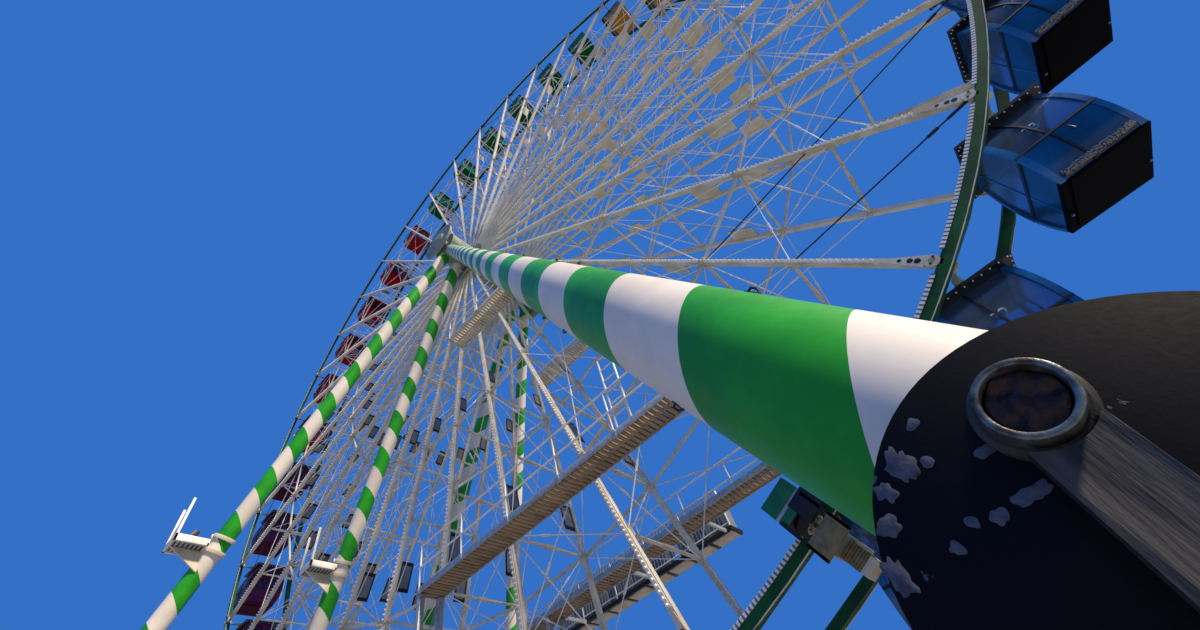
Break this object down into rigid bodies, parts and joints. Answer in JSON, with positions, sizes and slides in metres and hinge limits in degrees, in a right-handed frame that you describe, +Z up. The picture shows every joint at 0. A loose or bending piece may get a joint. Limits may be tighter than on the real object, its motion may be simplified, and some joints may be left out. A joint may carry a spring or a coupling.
{
  "type": "ferris wheel, 1:2 scale model",
  "caption": "Open spoked ferris wheel on banded splayed legs, with gondolas that hang level from twin rims as it turns.",
  "frame": {"origin": "on the ground, midway between the feet, under the hub", "axes": "+Z up, X along the wheel's plane, Y along its axle with the front at -Y"},
  "size_m": [22.7932, 9.4, 23.3674],
  "materials": {
    "banded_paint": "green and white ring bands, gloss",
    "rim_paint": "dark green gloss",
    "spoke_paint": "cream gloss, weathered",
    "foot_paint": "near-black, chipped",
    "deck_metal": "galvanised sheet, stained",
    "drive_paint": "green gloss",
    "tyre_rubber": "matt black",
    "hub_metal": "pale grey paint",
    "cabin_green": "gloss",
    "cabin_red": "gloss",
    "cabin_purple": "gloss",
    "cabin_orange": "gloss",
    "cabin_blue": "gloss",
    "cabin_yellow": "gloss"
  },
  "bodies": {
    "stand": {"axle": "hub_metal", "front_head": "hub_metal", "rear_head": "hub_metal", "front_gangway": "deck_metal", "rear_gangway": "deck_metal", "front_rest_platform": "deck_metal", "rear_rest_platform": "deck_metal", "drive_unit": "drive_paint", "left_sleeper": "foot_paint", "right_sleeper": "foot_paint", "front_left_inner_leg": "banded_paint", "front_left_outer_leg": "banded_paint", "front_right_inner_leg": "banded_paint", "front_right_outer_leg": "banded_paint", "rear_left_inner_leg": "banded_paint", "rear_left_outer_leg": "banded_paint", "rear_right_inner_leg": "banded_paint", "rear_right_outer_leg": "banded_paint"},
    "wheel": {"hub_drum": "hub_metal", "front_spokes": "spoke_paint", "rear_spokes": "spoke_paint", "front_rim": "rim_paint", "rear_rim": "rim_paint"},
    "tyre": {"drive_tyre": "tyre_rubber"},
    "cabin_01": {"gondola_01": "cabin_yellow"},
    "cabin_02": {"gondola_02": "cabin_yellow"},
    "cabin_03": {"gondola_03": "cabin_yellow"},
    "cabin_04": {"gondola_04": "cabin_yellow"},
    "cabin_05": {"gondola_05": "cabin_yellow"},
    "cabin_06": {"gondola_06": "cabin_yellow"},
    "cabin_07": {"gondola_07": "cabin_green"},
    "cabin_08": {"gondola_08": "cabin_green"},
    "cabin_09": {"gondola_09": "cabin_green"},
    "cabin_10": {"gondola_10": "cabin_green"},
    "cabin_11": {"gondola_11": "cabin_green"},
    "cabin_12": {"gondola_12": "cabin_green"},
    "cabin_13": {"gondola_13": "cabin_red"},
    "cabin_14": {"gondola_14": "cabin_red"},
    "cabin_15": {"gondola_15": "cabin_red"},
    "cabin_16": {"gondola_16": "cabin_red"},
    "cabin_17": {"gondola_17": "cabin_red"},
    "cabin_18": {"gondola_18": "cabin_red"},
    "cabin_19": {"gondola_19": "cabin_purple"},
    "cabin_20": {"gondola_20": "cabin_purple"},
    "cabin_21": {"gondola_21": "cabin_purple"},
    "cabin_22": {"gondola_22": "cabin_purple"},
    "cabin_23": {"gondola_23": "cabin_purple"},
    "cabin_24": {"gondola_24": "cabin_purple"},
    "cabin_25": {"gondola_25": "cabin_orange"},
    "cabin_26": {"gondola_26": "cabin_orange"},
    "cabin_27": {"gondola_27": "cabin_orange"},
    "cabin_28": {"gondola_28": "cabin_orange"},
    "cabin_29": {"gondola_29": "cabin_orange"},
    "cabin_30": {"gondola_30": "cabin_orange"},
    "cabin_31": {"gondola_31": "cabin_blue"},
    "cabin_32": {"gondola_32": "cabin_blue"},
    "cabin_33": {"gondola_33": "cabin_blue"},
    "cabin_34": {"gondola_34": "cabin_blue"},
    "cabin_35": {"gondola_35": "cabin_blue"},
    "cabin_36": {"gondola_36": "cabin_blue"}
  },
  "joints": [
    {"name": "wheel_turn", "type": "hinge", "parent": "stand", "child": "wheel", "pos_m": [0, 0, 12.32], "axis": [0, 1, 0], "continuous": true},
    {"name": "drive_tyre_turn", "type": "hinge", "parent": "stand", "child": "tyre", "pos_m": [4.42143, -0.8425, 2.24771], "axis": [0.4019, 0, -0.9157], "continuous": true},
    {"name": "cabin_01_level", "type": "hinge", "parent": "wheel", "child": "cabin_01", "pos_m": [10.97657, 0, 11.60248], "axis": [0, 1, 0], "continuous": true},
    {"name": "cabin_02_level", "type": "hinge", "parent": "wheel", "child": "cabin_02", "pos_m": [10.93441, 0, 13.51944], "axis": [0, 1, 0], "continuous": true},
    {"name": "cabin_03_level", "type": "hinge", "parent": "wheel", "child": "cabin_03", "pos_m": [10.56001, 0, 15.39996], "axis": [0, 1, 0], "continuous": true},
    {"name": "cabin_04_level", "type": "hinge", "parent": "wheel", "child": "cabin_04", "pos_m": [9.86475, 0, 17.1869], "axis": [0, 1, 0], "continuous": true},
    {"name": "cabin_05_level", "type": "hinge", "parent": "wheel", "child": "cabin_05", "pos_m": [8.86975, 0, 18.82595], "axis": [0, 1, 0], "continuous": true},
    {"name": "cabin_06_level", "type": "hinge", "parent": "wheel", "child": "cabin_06", "pos_m": [7.60526, 0, 20.26733], "axis": [0, 1, 0], "continuous": true},
    {"name": "cabin_07_level", "type": "hinge", "parent": "wheel", "child": "cabin_07", "pos_m": [6.10968, 0, 21.46723], "axis": [0, 1, 0], "continuous": true},
    {"name": "cabin_08_level", "type": "hinge", "parent": "wheel", "child": "cabin_08", "pos_m": [4.42846, 0, 22.3892], "axis": [0, 1, 0], "continuous": true},
    {"name": "cabin_09_level", "type": "hinge", "parent": "wheel", "child": "cabin_09", "pos_m": [2.61268, 0, 23.00522], "axis": [0, 1, 0], "continuous": true},
    {"name": "cabin_10_level", "type": "hinge", "parent": "wheel", "child": "cabin_10", "pos_m": [0.71752, 0, 23.29657], "axis": [0, 1, 0], "continuous": true},
    {"name": "cabin_11_level", "type": "hinge", "parent": "wheel", "child": "cabin_11", "pos_m": [-1.19944, 0, 23.25441], "axis": [0, 1, 0], "continuous": true},
    {"name": "cabin_12_level", "type": "hinge", "parent": "wheel", "child": "cabin_12", "pos_m": [-3.07996, 0, 22.88001], "axis": [0, 1, 0], "continuous": true},
    {"name": "cabin_13_level", "type": "hinge", "parent": "wheel", "child": "cabin_13", "pos_m": [-4.8669, 0, 22.18475], "axis": [0, 1, 0], "continuous": true},
    {"name": "cabin_14_level", "type": "hinge", "parent": "wheel", "child": "cabin_14", "pos_m": [-6.50595, 0, 21.18976], "axis": [0, 1, 0], "continuous": true},
    {"name": "cabin_15_level", "type": "hinge", "parent": "wheel", "child": "cabin_15", "pos_m": [-7.94733, 0, 19.92526], "axis": [0, 1, 0], "continuous": true},
    {"name": "cabin_16_level", "type": "hinge", "parent": "wheel", "child": "cabin_16", "pos_m": [-9.14723, 0, 18.42968], "axis": [0, 1, 0], "continuous": true},
    {"name": "cabin_17_level", "type": "hinge", "parent": "wheel", "child": "cabin_17", "pos_m": [-10.0692, 0, 16.74846], "axis": [0, 1, 0], "continuous": true},
    {"name": "cabin_18_level", "type": "hinge", "parent": "wheel", "child": "cabin_18", "pos_m": [-10.68522, 0, 14.93268], "axis": [0, 1, 0], "continuous": true},
    {"name": "cabin_19_level", "type": "hinge", "parent": "wheel", "child": "cabin_19", "pos_m": [-10.97657, 0, 13.03752], "axis": [0, 1, 0], "continuous": true},
    {"name": "cabin_20_level", "type": "hinge", "parent": "wheel", "child": "cabin_20", "pos_m": [-10.93441, 0, 11.12056], "axis": [0, 1, 0], "continuous": true},
    {"name": "cabin_21_level", "type": "hinge", "parent": "wheel", "child": "cabin_21", "pos_m": [-10.56001, 0, 9.24004], "axis": [0, 1, 0], "continuous": true},
    {"name": "cabin_22_level", "type": "hinge", "parent": "wheel", "child": "cabin_22", "pos_m": [-9.86475, 0, 7.4531], "axis": [0, 1, 0], "continuous": true},
    {"name": "cabin_23_level", "type": "hinge", "parent": "wheel", "child": "cabin_23", "pos_m": [-8.86975, 0, 5.81405], "axis": [0, 1, 0], "continuous": true},
    {"name": "cabin_24_level", "type": "hinge", "parent": "wheel", "child": "cabin_24", "pos_m": [-7.60526, 0, 4.37267], "axis": [0, 1, 0], "continuous": true},
    {"name": "cabin_25_level", "type": "hinge", "parent": "wheel", "child": "cabin_25", "pos_m": [-6.10968, 0, 3.17277], "axis": [0, 1, 0], "continuous": true},
    {"name": "cabin_26_level", "type": "hinge", "parent": "wheel", "child": "cabin_26", "pos_m": [-4.42846, 0, 2.2508], "axis": [0, 1, 0], "continuous": true},
    {"name": "cabin_27_level", "type": "hinge", "parent": "wheel", "child": "cabin_27", "pos_m": [-2.61268, 0, 1.63478], "axis": [0, 1, 0], "continuous": true},
    {"name": "cabin_28_level", "type": "hinge", "parent": "wheel", "child": "cabin_28", "pos_m": [-0.71752, 0, 1.34343], "axis": [0, 1, 0], "continuous": true},
    {"name": "cabin_29_level", "type": "hinge", "parent": "wheel", "child": "cabin_29", "pos_m": [1.19944, 0, 1.38559], "axis": [0, 1, 0], "continuous": true},
    {"name": "cabin_30_level", "type": "hinge", "parent": "wheel", "child": "cabin_30", "pos_m": [3.07996, 0, 1.75999], "axis": [0, 1, 0], "continuous": true},
    {"name": "cabin_31_level", "type": "hinge", "parent": "wheel", "child": "cabin_31", "pos_m": [4.8669, 0, 2.45525], "axis": [0, 1, 0], "continuous": true},
    {"name": "cabin_32_level", "type": "hinge", "parent": "wheel", "child": "cabin_32", "pos_m": [6.50595, 0, 3.45024], "axis": [0, 1, 0], "continuous": true},
    {"name": "cabin_33_level", "type": "hinge", "parent": "wheel", "child": "cabin_33", "pos_m": [7.94733, 0, 4.71474], "axis": [0, 1, 0], "continuous": true},
    {"name": "cabin_34_level", "type": "hinge", "parent": "wheel", "child": "cabin_34", "pos_m": [9.14723, 0, 6.21032], "axis": [0, 1, 0], "continuous": true},
    {"name": "cabin_35_level", "type": "hinge", "parent": "wheel", "child": "cabin_35", "pos_m": [10.0692, 0, 7.89154], "axis": [0, 1, 0], "continuous": true},
    {"name": "cabin_36_level", "type": "hinge", "parent": "wheel", "child": "cabin_36", "pos_m": [10.68522, 0, 9.70732], "axis": [0, 1, 0], "continuous": true}
  ],
  "couplings": [
    {"joint": "drive_tyre_turn", "follows": "wheel_turn", "ratio": -88},
    {"joint": "cabin_01_level", "follows": "wheel_turn", "ratio": -1},
    {"joint": "cabin_02_level", "follows": "wheel_turn", "ratio": -1},
    {"joint": "cabin_03_level", "follows": "wheel_turn", "ratio": -1},
    {"joint": "cabin_04_level", "follows": "wheel_turn", "ratio": -1},
    {"joint": "cabin_05_level", "follows": "wheel_turn", "ratio": -1},
    {"joint": "cabin_06_level", "follows": "wheel_turn", "ratio": -1},
    {"joint": "cabin_07_level", "follows": "wheel_turn", "ratio": -1},
    {"joint": "cabin_08_level", "follows": "wheel_turn", "ratio": -1},
    {"joint": "cabin_09_level", "follows": "wheel_turn", "ratio": -1},
    {"joint": "cabin_10_level", "follows": "wheel_turn", "ratio": -1},
    {"joint": "cabin_11_level", "follows": "wheel_turn", "ratio": -1},
    {"joint": "cabin_12_level", "follows": "wheel_turn", "ratio": -1},
    {"joint": "cabin_13_level", "follows": "wheel_turn", "ratio": -1},
    {"joint": "cabin_14_level", "follows": "wheel_turn", "ratio": -1},
    {"joint": "cabin_15_level", "follows": "wheel_turn", "ratio": -1},
    {"joint": "cabin_16_level", "follows": "wheel_turn", "ratio": -1},
    {"joint": "cabin_17_level", "follows": "wheel_turn", "ratio": -1},
    {"joint": "cabin_18_level", "follows": "wheel_turn", "ratio": -1},
    {"joint": "cabin_19_level", "follows": "wheel_turn", "ratio": -1},
    {"joint": "cabin_20_level", "follows": "wheel_turn", "ratio": -1},
    {"joint": "cabin_21_level", "follows": "wheel_turn", "ratio": -1},
    {"joint": "cabin_22_level", "follows": "wheel_turn", "ratio": -1},
    {"joint": "cabin_23_level", "follows": "wheel_turn", "ratio": -1},
    {"joint": "cabin_24_level", "follows": "wheel_turn", "ratio": -1},
    {"joint": "cabin_25_level", "follows": "wheel_turn", "ratio": -1},
    {"joint": "cabin_26_level", "follows": "wheel_turn", "ratio": -1},
    {"joint": "cabin_27_level", "follows": "wheel_turn", "ratio": -1},
    {"joint": "cabin_28_level", "follows": "wheel_turn", "ratio": -1},
    {"joint": "cabin_29_level", "follows": "wheel_turn", "ratio": -1},
    {"joint": "cabin_30_level", "follows": "wheel_turn", "ratio": -1},
    {"joint": "cabin_31_level", "follows": "wheel_turn", "ratio": -1},
    {"joint": "cabin_32_level", "follows": "wheel_turn", "ratio": -1},
    {"joint": "cabin_33_level", "follows": "wheel_turn", "ratio": -1},
    {"joint": "cabin_34_level", "follows": "wheel_turn", "ratio": -1},
    {"joint": "cabin_35_level", "follows": "wheel_turn", "ratio": -1},
    {"joint": "cabin_36_level", "follows": "wheel_turn", "ratio": -1}
  ]
}
